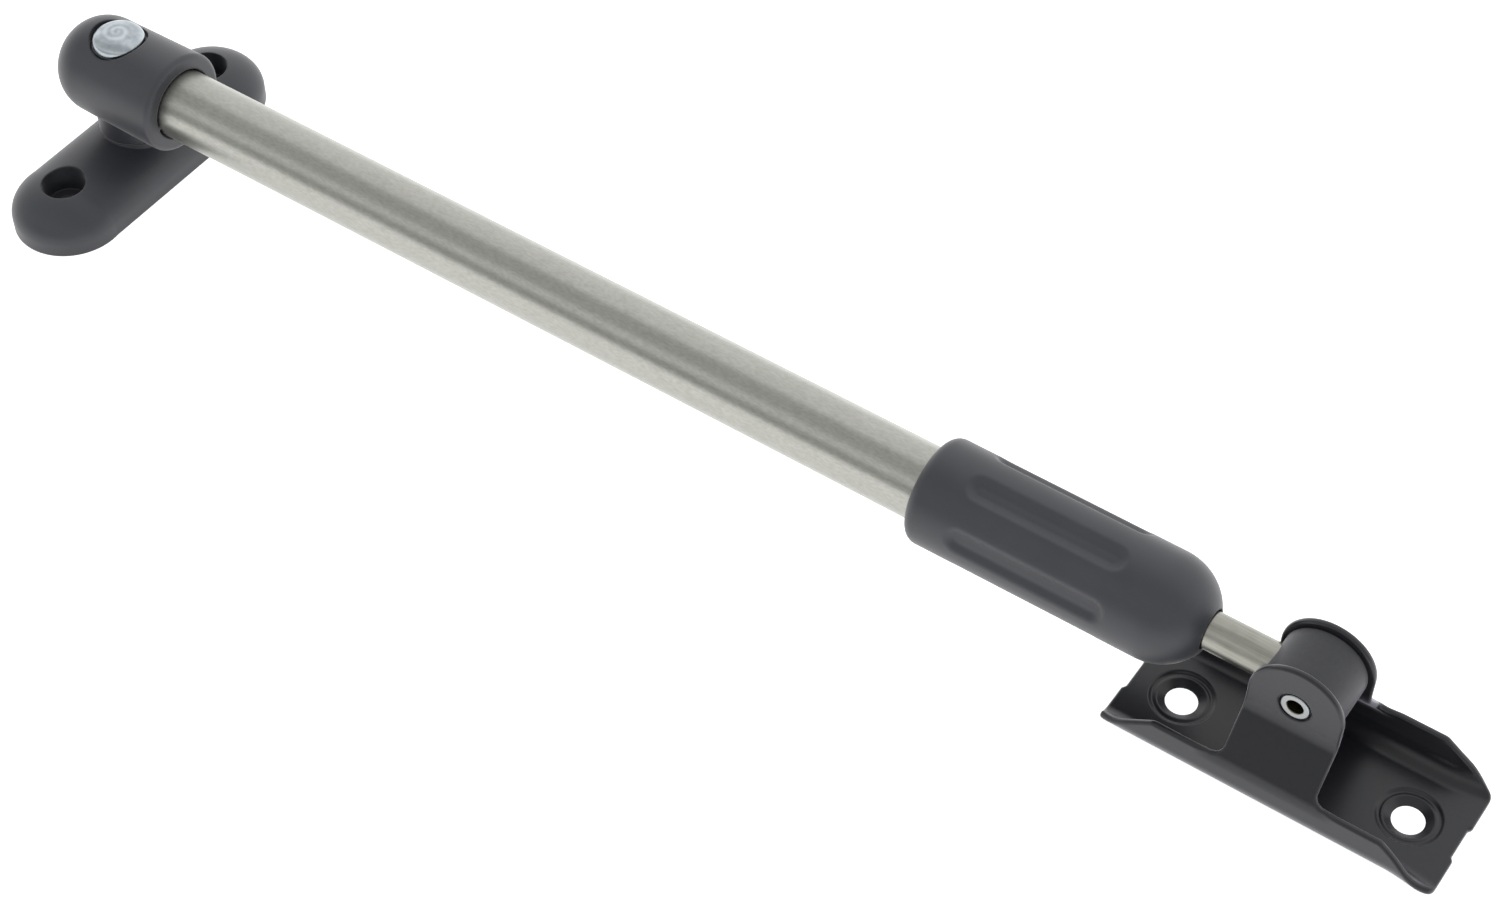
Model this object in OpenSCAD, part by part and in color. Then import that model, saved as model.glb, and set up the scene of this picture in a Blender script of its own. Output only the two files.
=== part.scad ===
// Telescopic window stay, closed, lying with both feet on the plane z = 0.
// The origin is on the plate's mounting plane, on the axis of the pivot rivet.
// +X runs along the tube towards the bracket, +Z away from the mounting plane.

/* [Mounting plate] */
// Distance between the plate's two screw holes
plate_hole_spacing = 48; // [44:1:60]
// Width of the plate at its foot
plate_w = 25.6; // [24:0.2:30]
// Height of the plate's crown
plate_h = 11.1; // [10.5:0.1:12]
// Height of the upright edge below the domed top
plate_edge_h = 3; // [2:0.5:4]
// Length of the round end past the hole's centre
plate_end_r = 12.9; // [12.8:0.1:15]
// Bore that lets the screw's head in
screw_head_bore_d = 10; // [8.5:0.5:11]
// Rise of the boss above the plate's crown
boss_rise = 0.2; // [0.1:0.1:0.6]
// Height of the seat under the screw's head
screw_seat_z = 4; // [3:0.5:5]
// Screw clearance hole in the plate
plate_screw_d = 5.2; // [4.2:0.1:6]
// Diameter of the round boss that the knuckle turns on
boss_d = 16.4; // [15:0.2:18]

/* [Knuckle] */
// Height of the neck that shows between the plate's boss and the knuckle
neck_h = 2.3; // [1.6:0.05:4]
// Gap between the boss and the neck, whose skirt hides the swivel's washer
skirt_gap = 0.15; // [0.1:0.05:0.3]
// Width of that skirt
skirt_w = 1.4; // [1:0.1:2]
// Diameter of the knuckle at its closed end
knuckle_d = 22.9; // [22.5:0.1:25]
// Diameter of the knuckle at its open rim
rim_d = 23.5; // [22.5:0.1:25.5]
// Length of the rounded closed end
knuckle_dome_l = 10; // [8:0.5:12]
// Reach of the closed end behind the rivet's axis
knuckle_back = 16; // [14:0.2:20]
// Reach of the open rim in front of the rivet's axis
knuckle_front = 17.3; // [17:0.1:24]
// Rounding of the open rim
rim_round = 1.3; // [0.5:0.1:1.8]
// Diameter of the neck under the knuckle
neck_d = 16.4; // [15:0.2:18]
// Depth of the tube's seat in the knuckle
tube_seat_l = 9.6; // [8:0.1:9.8]
// Width of the open gap round the tube at the rim
rim_gap = 0.5; // [0.3:0.05:0.8]
// Depth of that gap
rim_gap_l = 3; // [2:0.5:5]
// Width of the keys that bridge the gap
key_w = 1.2; // [1:0.1:2]
// Angle of the first key about the tube's axis
key_angle = 189; // [150:1:210]

/* [Pivot rivet] */
// Diameter of the rivet's head
rivet_head_d = 12.3; // [11:0.1:13]
// Height of the head's upright edge
rivet_edge_h = 1.7; // [1:0.1:2]
// Rise of the head's domed top
rivet_dome_h = 1.5; // [0.8:0.1:2]
// Diameter of the rivet's shank
rivet_shank_d = 7; // [6:0.5:7.5]
// Diameter of the counterbore that the head sits in
rivet_bore_d = 13.2; // [13:0.1:14]
// Depth of that counterbore below the knuckle's crown
rivet_bore_depth = 2.7; // [2.5:0.1:3.3]
// Thickness of the washers on the rivet
washer_t = 0.6; // [0.4:0.1:0.8]
// Rounding of the head's edge
rivet_round = 0.4; // [0.2:0.1:0.6]
// Width of the tail's flange round the shank
tail_flange = 1.6; // [1.2:0.1:2]
// Chamfer on the tail's flange
tail_chamfer = 0.8; // [0.4:0.1:1]
// Depth of the tail below the mounting plane
tail_sunk = 0.4; // [0.2:0.1:0.6]
// Depth of the recess for the rivet's tail
tail_recess_h = 2.8; // [2.4:0.1:3.2]
// Diameter of that recess
tail_recess_d = 13; // [12:0.5:14]

/* [Tube and rod] */
// Outer diameter of the tube
tube_d = 16; // [15:0.5:16.5]
// Wall of the tube
tube_wall = 1; // [0.8:0.1:1.2]
// Length of the tube
tube_l = 228; // [160:1:400]
// Diameter of the rod
rod_d = 8; // [7:0.5:8.5]
// Length of rod that shows between the grip's nose and the hinge when closed
rod_show = 21.7; // [21.7:0.1:40]

/* [Grip] */
// Length of the grip
grip_l = 63.3; // [63.3:0.1:90]
// Length of tube inside the grip
grip_overlap = 20.7; // [17:0.1:25]
// Diameter of the grip at its tube end
grip_back_d = 23.2; // [23:0.1:26]
// Diameter of the grip where the nose starts
grip_front_d = 23; // [22.6:0.1:25]
// Rounding of the tube end
grip_round = 2.6; // [1.5:0.1:3]
// Half length of the ellipse that makes the nose
nose_l = 12; // [11:0.1:13]
// Width of the flat end of the nose round the rod
nose_lip = 0.6; // [0.4:0.1:1]
// Radial gap round the rod in the nose
nose_gap = 0.3; // [0.2:0.05:0.4]
// Depth of the nose's wall in front of the wiper
nose_wall_l = 6.3; // [5:0.1:8]
// Number of flutes round the grip
flutes = 6; // [4:1:8]
// Length of a flute
flute_l = 35.5; // [24:0.5:38]
// Start of the flutes from the tube end of the grip
flute_start = 10; // [7:0.5:13]
// Width of a flute
flute_w = 5.8; // [4:0.1:6.4]
// Depth of a flute
flute_depth = 0.9; // [0.5:0.1:1.2]
// Angle of the first flute about the tube's axis
flute_angle = 47; // [0:1:60]

/* [Clamp] */
// Diameter of the collar's thread
thread_d = 12.8; // [12.4:0.1:13.6]
// Length of the collar inside the tube
collar_insert_l = 14; // [10:0.5:20]
// Length of the collar's threaded neck
collar_neck_l = 16; // [14:0.5:18]
// Length of the collar's flange
collar_flange_l = 2; // [1.5:0.1:3]
// Space between the collar's flange and the insert
nut_stand = 2.5; // [2:0.1:4]
// Length of the grip's threaded insert
nut_l = 10; // [8:0.5:11]
// Outer diameter of the collet's stem
collet_stem_d = 10.8; // [10:0.1:11]
// Space between the collar's neck and the collet's cone
collet_stand = 1; // [0.8:0.1:1.4]
// Thickness of the collet's shoulder
collet_shoulder = 0.6; // [0.4:0.1:0.7]
// Closed length of the collet behind its slots
collet_root_l = 3; // [2:0.5:5]
// Length of the collet's stem
collet_stem_l = 10.5; // [9:0.5:12]
// Length of the collet's cone
collet_cone_l = 7; // [6:0.1:8]
// Diameter of the cone at its wide end
collet_cone_d1 = 12.6; // [12.2:0.1:13]
// Diameter of the cone at its narrow end
collet_cone_d2 = 10.4; // [10:0.1:11]
// Width of the collet's slots
collet_slot_w = 0.9; // [0.6:0.1:1.4]
// Number of slots across the collet
collet_cuts = 2; // [1:1:3]
// Length of the ring in front of the collet
ring_stand = 0.6; // [0.4:0.1:1]
// Length of the clamp ring
ring_l = 6; // [5:0.1:6.4]
// Length of the wiper
wiper_l = 4; // [3:0.5:5]
// Diameter of the wiper
wiper_d = 12; // [11:0.5:13]

/* [Slider] */
// Length of the slider
slider_l = 16; // [12:0.5:30]
// Diameter of the rod's spigot in the slider
spigot_d = 5.2; // [4.5:0.1:6]
// Length of the slider's guide ring
guide_ring_l = 4; // [3:0.5:5]
// Depth of the guide ring's groove
guide_groove = 0.95; // [0.8:0.05:1.2]
// Length of the end buffer
buffer_l = 4; // [3:0.5:8]
// Diameter of the slider screw's thread
slider_screw_d = 2.5; // [2.5:0.1:3.5]
// Length of the slider screw below its head
slider_screw_l = 10; // [8:0.5:14]
// Diameter of the slider screw's head
slider_screw_head_d = 5.6; // [5:0.1:6.4]
// Height of the slider screw's head
slider_screw_head_h = 2; // [1.5:0.1:2.5]
// Diameter of the slider's washer
slider_washer_d = 10; // [9:0.5:12]
// Thickness of the slider's washer
slider_washer_t = 1; // [0.8:0.1:1.2]

/* [Bracket] */
// Length of the bracket
bracket_l = 72; // [68:1:80]
// Thickness of the bracket's sheet
sheet_t = 2; // [1.6:0.1:2.2]
// Width of the bracket across its lower bends
bracket_w = 29.6; // [29:0.1:32]
// Inner radius of the lower bends
bend_r = 2.5; // [2:0.1:3]
// Angle at which the side walls lean in
wall_lean = 30; // [27:1:33]
// Inner radius of the bend below the ears
ear_bend_r = 3; // [2:0.1:3.5]
// Height of the low side flanges
flange_h = 7.4; // [7:0.1:9]
// Length of full height that each flange keeps, from the middle
flange_full = 24.5; // [22:0.5:28]
// Distance from the middle at which a flange's slope comes down to the sheet
flange_toe = 32; // [30:0.5:34]
// Width of an ear, which is also its arch's diameter
ear_w = 19.8; // [19:0.1:21]
// Clear distance between the two ears
ear_gap = 10.8; // [10:0.1:12]
// Fillet between an ear and a flange
ear_fillet = 4; // [2:0.5:5]
// Distance between the bracket's two screw holes
bracket_hole_spacing = 49.5; // [48:0.5:54]
// Screw clearance hole in the bracket
bracket_screw_d = 6.6; // [5:0.1:7]
// Diameter of the countersink
countersink_d = 10; // [9:0.1:10.6]
// Diameter of the shallow ring pressed round each countersink
dimple_d = 12.8; // [12:0.1:13.4]
// Height of the hole's straight wall below the countersink
hole_land = 0.3; // [0.2:0.1:0.5]
// Depth of that ring
dimple_depth = 0.35; // [0.2:0.05:0.5]
// Half width of the notch in each end edge
notch_half_w = 3.8; // [2:0.1:5]
// Depth of the notch
notch_depth = 0.6; // [0.3:0.1:1.2]
// Length of the slanting cut across each corner of the sheet
corner_cut_l = 5.5; // [3:0.5:7]
// Width that the cut takes off the bend along the sheet
corner_cut_w = 2.65; // [1.5:0.05:3.5]
// Angle below level at which the cut stands square to the bent sheet
corner_cut_angle = 40; // [30:1:50]
// Rounding of the bracket's corners
corner_r = 2.5; // [1:0.5:3]
// Turn of that rounding
corner_turn = 35; // [20:1:45]

/* [Hinge] */
// Diameter of the cross barrel
barrel_d = 17.5; // [16:0.1:18]
// Outer diameter of the hollow rivet
hinge_rivet_d = 5; // [4.5:0.1:5.4]
// Bore of the hollow rivet
hinge_rivet_bore = 3.4; // [2.5:0.1:3.6]
// Diameter of the hollow rivet's rolled heads
hinge_head_d = 6; // [5.8:0.1:6.2]
// Thickness of the rolled heads
hinge_head_t = 0.6; // [0.4:0.1:0.8]
// Diameter of the recess round each rolled head
hinge_recess_d = 6.6; // [6.4:0.1:7.2]
// Depth of the rolled heads below the ears' faces
hinge_head_sunk = 0.1; // [0:0.05:0.2]
// Rounding of the rolled heads
hinge_head_round = 0.3; // [0.1:0.05:0.3]
// Wall between the rod's end and the bush
rod_end_wall = 0.6; // [0.4:0.1:1]
// Wall of the barrel's bush
bush_wall = 0.85; // [0.6:0.05:1]
// Thickness of the washers beside the barrel
barrel_washer_t = 0.4; // [0.3:0.1:0.6]
// Diameter of those washers
barrel_washer_d = 12; // [10:0.5:14]

/* [Clearances] */
// Radial clearance of a running fit
run_gap = 0.05; // [0.02:0.01:0.1]
// Radial clearance of a long sliding fit
slide_gap = 0.08; // [0.04:0.01:0.1]
// End play between faces that rub
face_gap = 0.05; // [0.02:0.01:0.1]
// Space that a closed stop leaves
stop_gap = 0.3; // [0.2:0.05:0.5]

/* [Hidden] */
$fn = 96;
// Straight steps that stand for a quarter of a rounded outline
ARC_STEPS = 20;
BEND_STEPS = 10;

// Heights of the swivel joint, from the plate up
boss_top = plate_h + boss_rise;
washer_top = boss_top + washer_t;
neck_bottom = boss_top + skirt_gap;
washer_pocket_r = neck_d / 2 - skirt_w;
axis_h = neck_bottom + neck_h + rim_d / 2;
crown_z = axis_h + knuckle_d / 2;
head_floor = crown_z - rivet_bore_depth;
head_seat = head_floor + washer_t + face_gap;
// Stations along the tube
tube_r = tube_d / 2;
tube_bore_r = tube_r - tube_wall;
tube_x0 = knuckle_front - tube_seat_l;
tube_x1 = tube_x0 + tube_l;
rod_r = rod_d / 2;
// Stations of the slider, closed against the buffer
screw_head_x0 = tube_x0 + buffer_l + stop_gap;
washer_x0 = screw_head_x0 + slider_screw_head_h;
spigot_x0 = washer_x0 + slider_washer_t;
slider_x0 = spigot_x0 + face_gap;
slider_x1 = slider_x0 + slider_l;
shoulder_x = slider_x1 + face_gap;
guide_ring_x0 = (slider_x0 + slider_x1 - guide_ring_l) / 2;
slider_r = tube_bore_r - slide_gap;
// Stations of the clamp, from the tube's end
collar_x0 = tube_x1 - collar_insert_l;
neck_x0 = tube_x1 + collar_flange_l;
neck_x1 = neck_x0 + collar_neck_l;
thread_r = thread_d / 2;
cone_x0 = neck_x1 + collet_stand;
collet_x0 = cone_x0 - collet_stem_l;
cone_x1 = cone_x0 + collet_cone_l;
nut_x0 = neck_x0 + nut_stand;
grip_x0 = tube_x1 - grip_overlap;
grip_x1 = grip_x0 + grip_l;
grip_bore_r = tube_r + slide_gap;
ring_x1 = cone_x1 + ring_stand;
ring_x0 = ring_x1 - ring_l;
grip_shoulder_x = ring_x1 + face_gap;
nose_tip_r = rod_r + nose_lip;
nose_bore_r = rod_r + nose_gap;
wiper_x1 = grip_x1 - nose_wall_l;
// Stations of the hinge
pivot_x = grip_x1 + rod_show;
hinge_r = hinge_rivet_d / 2;
bush_r = hinge_r + run_gap + bush_wall;
barrel_half = ear_gap / 2 - barrel_washer_t - 2 * face_gap;
rod_x1 = pivot_x - bush_r - rod_end_wall;
head_y = ear_gap / 2 + sheet_t - hinge_head_sunk;
// Bracket
bend_out = bend_r + sheet_t;
base_half = bracket_w / 2 - bend_out;
ear_face = ear_gap / 2 + sheet_t;
ear_r = ear_w / 2;
ear_top = axis_h + ear_r;

// Cylinder about the tube's axis, from x0 to x1
module bar(x0, x1, r) {
    translate([x0, 0, axis_h]) rotate([0, 90, 0]) cylinder(h = x1 - x0, r = r);
}

// Cone about the tube's axis, from radius r0 at x0 to r1 at x1
module taper(x0, x1, r0, r1) {
    translate([x0, 0, axis_h]) rotate([0, 90, 0]) cylinder(h = x1 - x0, r1 = r0, r2 = r1);
}

// Turned shape about the tube's axis, from points [radius, x]
module turned(points) {
    translate([0, 0, axis_h]) rotate([0, 90, 0]) rotate_extrude() polygon(points);
}

// Cylinder about the hinge's axis, from y0 to y1
module cross_bar(y0, y1, r) {
    translate([pivot_x, y1, axis_h]) rotate([90, 0, 0]) cylinder(h = y1 - y0, r = r);
}

// Upright cylinder on the pivot's axis, from z0 to z1
module post(z0, z1, r) {
    translate([0, 0, z0]) cylinder(h = z1 - z0, r = r);
}

// Points along an ellipse about centre c, half axes a and b, from angle a0 to a1
function arc(c, a, b, a0, a1, steps = ARC_STEPS) = [for (i = [0:steps])
    let (t = a0 + (a1 - a0) * i / steps) [c[0] + a * cos(t), c[1] + b * sin(t)]];

// Half section of the plate, from its middle out to a half width w
function plate_half(w) = concat([[0, 0], [w, 0]],
    arc([0, plate_edge_h], w, plate_h - plate_edge_h, 0, 90));

module mounting_plate() {
    side = plate_half(plate_w / 2);
    end = plate_half(plate_end_r);
    mirrored = [for (i = [len(side) - 2:-1:1]) [-side[i][0], side[i][1]]];
    color("dimgray") difference() {
        union() {
            translate([0, plate_hole_spacing / 2, 0]) rotate([90, 0, 0])
                linear_extrude(plate_hole_spacing) polygon(concat(side, mirrored));
            for (s = [-1, 1]) translate([0, s * plate_hole_spacing / 2, 0])
                rotate_extrude() polygon(end);
            post(plate_h / 2, boss_top, boss_d / 2);
        }
        for (s = [-1, 1]) translate([0, s * plate_hole_spacing / 2, 0]) {
            translate([0, 0, -1]) cylinder(h = plate_h + 2, r = plate_screw_d / 2);
            translate([0, 0, screw_seat_z]) cylinder(h = plate_h, r = screw_head_bore_d / 2);
        }
        post(-1, boss_top + 1, rivet_shank_d / 2);
        post(-1, tail_recess_h, tail_recess_d / 2);
    }
}

module pivot_rivet() {
    edge_top = head_seat + rivet_edge_h;
    shank_r = rivet_shank_d / 2;
    tail_r = shank_r + tail_flange;
    tail_top = tail_recess_h - washer_t;
    flat_r = rivet_head_d / 2 - rivet_round;
    color("silver") rotate_extrude() polygon(concat(
        [[0, tail_sunk], [tail_r - tail_chamfer, tail_sunk], [tail_r, tail_sunk + tail_chamfer],
         [tail_r, tail_top], [shank_r, tail_top], [shank_r, head_seat],
         [flat_r + rivet_round, head_seat]],
        arc([flat_r, edge_top - rivet_round], rivet_round, rivet_round, 0, 60, BEND_STEPS),
        arc([0, edge_top], flat_r, rivet_dome_h, 10, 90)));
}

module thrust_washer() {
    color("ivory") difference() {
        post(boss_top, washer_top, washer_pocket_r - run_gap);
        post(boss_top - 1, washer_top + 1, rivet_shank_d / 2 + run_gap);
    }
}

module head_washer() {
    color("silver") difference() {
        post(head_floor + face_gap, head_seat, rivet_bore_d / 2 - 0.6);
        post(head_floor - 1, head_seat + 1, rivet_shank_d / 2);
    }
}

module tail_washer() {
    color("silver") difference() {
        post(tail_recess_h - washer_t, tail_recess_h, tail_recess_d / 2 - 0.3);
        post(0, tail_recess_h + 1, rivet_shank_d / 2);
    }
}

module knuckle() {
    back_r = knuckle_d / 2;
    front_r = rim_d / 2;
    dome_x = knuckle_dome_l - knuckle_back;
    color("dimgray") difference() {
        union() {
            turned(concat(arc([0, dome_x], back_r, knuckle_dome_l, -90, 0),
                arc([front_r - rim_round, knuckle_front - rim_round], rim_round, rim_round, 0, 90),
                [[0, knuckle_front]]));
            post(neck_bottom, axis_h, neck_d / 2);
        }
        bar(tube_x0, knuckle_front + 1, tube_r);
        difference() {
            bar(knuckle_front - rim_gap_l, knuckle_front + 1, tube_r + rim_gap);
            for (a = [0, 180]) translate([0, 0, axis_h]) rotate([key_angle + a, 0, 0])
                translate([knuckle_front - rim_gap_l, tube_r - 1, -key_w / 2])
                    cube([rim_gap_l + 1, 2, key_w]);
        }
        post(neck_bottom - 1, crown_z, rivet_shank_d / 2 + run_gap);
        post(neck_bottom - 1, washer_top + face_gap, washer_pocket_r);
        post(head_floor, crown_z + 1, rivet_bore_d / 2);
    }
}

module outer_tube() {
    color("lightgray") difference() {
        bar(tube_x0, tube_x1, tube_r);
        bar(tube_x0 - 1, tube_x1 + 1, tube_bore_r);
    }
}

module end_buffer() {
    color("black") difference() {
        bar(tube_x0, tube_x0 + buffer_l, tube_bore_r);
        bar(tube_x0 - 1, tube_x0 + buffer_l + 1, tube_bore_r / 3);
    }
}

module threaded_collar() {
    color("goldenrod") difference() {
        union() {
            bar(collar_x0, tube_x1, tube_bore_r);
            bar(tube_x1, neck_x0, tube_r);
            bar(neck_x0, neck_x1, thread_r);
        }
        bar(collar_x0 - 1, neck_x1, rod_r + run_gap);
        bar(collet_x0 - face_gap, neck_x1 + 1, collet_stem_d / 2);
    }
}

module collet() {
    wide = collet_cone_d1 / 2;
    slot_x0 = collet_x0 + collet_root_l;
    color("goldenrod") difference() {
        union() {
            bar(collet_x0, cone_x0, collet_stem_d / 2);
            bar(cone_x0 - collet_shoulder, cone_x0, wide);
            taper(cone_x0, cone_x1, wide, collet_cone_d2 / 2);
        }
        bar(collet_x0 - 1, cone_x1 + 1, rod_r + run_gap);
        for (i = [0:collet_cuts - 1]) translate([0, 0, axis_h]) rotate([180 * i / collet_cuts, 0, 0])
            translate([slot_x0, -wide - 1, -collet_slot_w / 2])
                cube([cone_x1 - slot_x0 + 1, 2 * wide + 2, collet_slot_w]);
    }
}

module clamp_ring() {
    slope = (collet_cone_d1 - collet_cone_d2) / 2 / collet_cone_l;
    r_back = collet_cone_d1 / 2 - slope * (ring_x0 - 1 - cone_x0) + run_gap;
    r_front = r_back - slope * (ring_l + 2);
    color("silver") difference() {
        bar(ring_x0, ring_x1, grip_bore_r - run_gap);
        taper(ring_x0 - 1, ring_x1 + 1, r_back, r_front);
    }
}

// One flute's cutter, lying on top of the grip at the middle of its length
module flute() {
    mean_r = (grip_back_d + grip_front_d) / 4;
    rise = sqrt(mean_r * mean_r - flute_w * flute_w / 4) - mean_r + flute_depth;
    cut_r = (flute_w * flute_w / 4 + rise * rise) / 2 / rise;
    x0 = grip_x0 + flute_start;
    translate([0, 0, axis_h]) intersection() {
        translate([x0, 0, mean_r - flute_depth + cut_r]) rotate([0, 90, 0])
            cylinder(h = flute_l, r = cut_r);
        union() {
            translate([x0 + flute_w / 2, -flute_w / 2, 0])
                cube([flute_l - flute_w, flute_w, 2 * mean_r]);
            for (x = [x0 + flute_w / 2, x0 + flute_l - flute_w / 2]) translate([x, 0, 0])
                cylinder(h = 2 * mean_r, r = flute_w / 2);
        }
    }
}

module grip() {
    back_r = grip_back_d / 2;
    front_r = grip_front_d / 2;
    tip_angle = acos(nose_tip_r / front_r);
    nose_x0 = grip_x1 - nose_l * sin(tip_angle);
    color("dimgray") difference() {
        turned(concat([[0, grip_x0]],
            arc([back_r - grip_round, grip_x0 + grip_round], grip_round, grip_round, -90, 0),
            arc([0, nose_x0], front_r, nose_l, 0, tip_angle),
            [[0, grip_x1]]));
        bar(grip_x0 - 1, grip_shoulder_x, grip_bore_r);
        bar(grip_shoulder_x - 1, wiper_x1, wiper_d / 2);
        bar(wiper_x1 - 1, grip_x1 + 1, nose_bore_r);
        for (i = [0:flutes - 1]) translate([0, 0, axis_h])
            rotate([flute_angle - 90 + 360 * i / flutes, 0, 0]) translate([0, 0, -axis_h]) flute();
    }
}

module grip_nut() {
    color("goldenrod") difference() {
        bar(nut_x0, nut_x0 + nut_l, grip_bore_r);
        bar(nut_x0 - 1, nut_x0 + nut_l + 1, thread_r + run_gap);
    }
}

module rod_wiper() {
    color("black") difference() {
        bar(wiper_x1 - wiper_l, wiper_x1, wiper_d / 2);
        bar(wiper_x1 - wiper_l - 1, wiper_x1 + 1, rod_r + run_gap);
    }
}

module slider() {
    color("ivory") difference() {
        bar(slider_x0, slider_x1, slider_r);
        bar(slider_x0 - 1, slider_x1 + 1, spigot_d / 2 + run_gap);
        difference() {
            bar(guide_ring_x0 - face_gap, guide_ring_x0 + guide_ring_l + face_gap, slider_r + 1);
            bar(slider_x0, slider_x1, slider_r - guide_groove);
        }
    }
}

module slider_ring() {
    color("black") difference() {
        bar(guide_ring_x0, guide_ring_x0 + guide_ring_l, tube_bore_r - run_gap);
        bar(slider_x0, slider_x1, slider_r - guide_groove);
    }
}

module slider_washer() {
    color("silver") difference() {
        bar(washer_x0, spigot_x0, slider_washer_d / 2);
        bar(washer_x0 - 1, spigot_x0 + 1, slider_screw_d / 2);
    }
}

module slider_screw() {
    color("silver") difference() {
        union() {
            bar(screw_head_x0, washer_x0, slider_screw_head_d / 2);
            bar(washer_x0, washer_x0 + slider_screw_l, slider_screw_d / 2);
        }
        translate([screw_head_x0 - 1, 0, axis_h]) rotate([0, 90, 0])
            cylinder(h = 1 + slider_screw_head_h / 2, r = slider_screw_head_d / 4, $fn = 6);
    }
}

module inner_rod() {
    color("lightgray") difference() {
        union() {
            bar(spigot_x0, shoulder_x, spigot_d / 2);
            bar(shoulder_x, rod_x1, rod_r);
        }
        bar(spigot_x0 - 1, washer_x0 + slider_screw_l + 1, slider_screw_d / 2);
    }
}

module barrel() {
    color("darkslategray") difference() {
        cross_bar(-barrel_half, barrel_half, barrel_d / 2);
        cross_bar(-barrel_half - 1, barrel_half + 1, bush_r);
        bar(pivot_x - barrel_d, rod_x1, rod_r);
    }
}

module barrel_bush() {
    color("goldenrod") difference() {
        cross_bar(-barrel_half, barrel_half, bush_r);
        cross_bar(-barrel_half - 1, barrel_half + 1, hinge_r + run_gap);
    }
}

module barrel_washers() {
    color("ivory") for (s = [-1, 1])
        translate([0, s * (ear_gap / 2 - barrel_washer_t / 2), 0]) difference() {
            cross_bar(-barrel_washer_t / 2, barrel_washer_t / 2, barrel_washer_d / 2);
            cross_bar(-1, 1, hinge_r);
        }
}

module hinge_rivet() {
    edge_r = hinge_head_d / 2 - hinge_head_round;
    lip_r = hinge_rivet_bore / 2 + hinge_head_round;
    round_y = head_y - hinge_head_round;
    half = concat([[hinge_r, 0], [hinge_r, head_y - hinge_head_t],
            [hinge_head_d / 2, head_y - hinge_head_t]],
        arc([edge_r, round_y], hinge_head_round, hinge_head_round, 0, 90, BEND_STEPS),
        arc([lip_r, round_y], hinge_head_round, hinge_head_round, 90, 180, BEND_STEPS),
        [[hinge_rivet_bore / 2, 0]]);
    color("silver") translate([pivot_x, 0, axis_h]) for (s = [-90, 90]) rotate([s, 0, 0])
        rotate_extrude() polygon(half);
}

// Section of the bent sheet on one side, y to the right and z up, middle to ear
function sheet_side() =
    let (low = [base_half, bend_out], high_r = ear_bend_r + sheet_t,
        lean = [cos(wall_lean), sin(wall_lean)], wall_out = low + bend_out * lean,
        bend_y = ear_face + ear_bend_r,
        wall_l = (wall_out[0] - bend_y + ear_bend_r * lean[0]) / lean[1],
        high = [bend_y, wall_out[1] + wall_l * lean[0] + ear_bend_r * lean[1]])
    concat([[0, 0]], arc(low, bend_out, bend_out, -90, wall_lean, BEND_STEPS),
        arc(high, ear_bend_r, ear_bend_r, 180 + wall_lean, 180, BEND_STEPS),
        [[ear_face, ear_top + 1], [ear_face - sheet_t, ear_top + 1]],
        arc(high, high_r, high_r, 180, 180 + wall_lean, BEND_STEPS),
        arc(low, bend_r, bend_r, wall_lean, -90, BEND_STEPS), [[0, sheet_t]]);

// Side view of the bracket about its hinge, x to the right and z up
module bracket_side() {
    half = bracket_l / 2;
    translate([0, axis_h]) circle(ear_r);
    translate([-ear_r, 0]) square([ear_w, axis_h]);
    polygon([[-half, 0], [half, 0], [half, sheet_t], [flange_toe, sheet_t],
        [flange_full, flange_h], [-flange_full, flange_h], [-flange_toe, sheet_t],
        [-half, sheet_t]]);
    difference() {
        translate([-ear_r - ear_fillet, flange_h - sheet_t])
            square([ear_w + 2 * ear_fillet, ear_fillet + sheet_t]);
        for (s = [-1, 1])
            translate([s * (ear_r + ear_fillet), flange_h + ear_fillet]) circle(ear_fillet);
    }
}

// Plan of the bracket about its hinge, with rounded corners and notched ends
module bracket_plan() {
    half_l = bracket_l / 2;
    half_w = bracket_w / 2;
    rounded = arc([half_l - corner_r, base_half], corner_r, corner_r, 0, corner_turn, BEND_STEPS);
    last = rounded[BEND_STEPS];
    out = concat(rounded, [[last[0] - (half_w - last[1]) * tan(corner_turn), half_w]]);
    back = [for (i = [len(out) - 1:-1:0]) out[i]];
    difference() {
        polygon(concat(out, [for (p = back) [-p[0], p[1]]], [for (p = out) [-p[0], -p[1]]],
            [for (p = back) [p[0], -p[1]]]));
        for (s = [-1, 1]) polygon([[s * half_l, -notch_half_w - notch_depth],
            [s * (half_l - notch_depth), -notch_half_w], [s * (half_l - notch_depth), notch_half_w],
            [s * half_l, notch_half_w + notch_depth], [s * (half_l + 1), 0]]);
    }
}

// Cutter for the bent sheet's corner on the +X and +Y side of the hinge
module corner_cut() {
    start = corner_cut_w / 3;
    slope = [corner_cut_l, corner_cut_w];
    translate([bracket_l / 2, base_half, bend_out]) rotate([corner_cut_angle - 180, 0, 0])
        mirror([0, 1, 0]) linear_extrude(bend_out + 1)
            polygon([[0, -start], [-2 * slope[0], 2 * slope[1] - start],
                [1, 2 * slope[1] - start], [1, -start]]);
}

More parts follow.
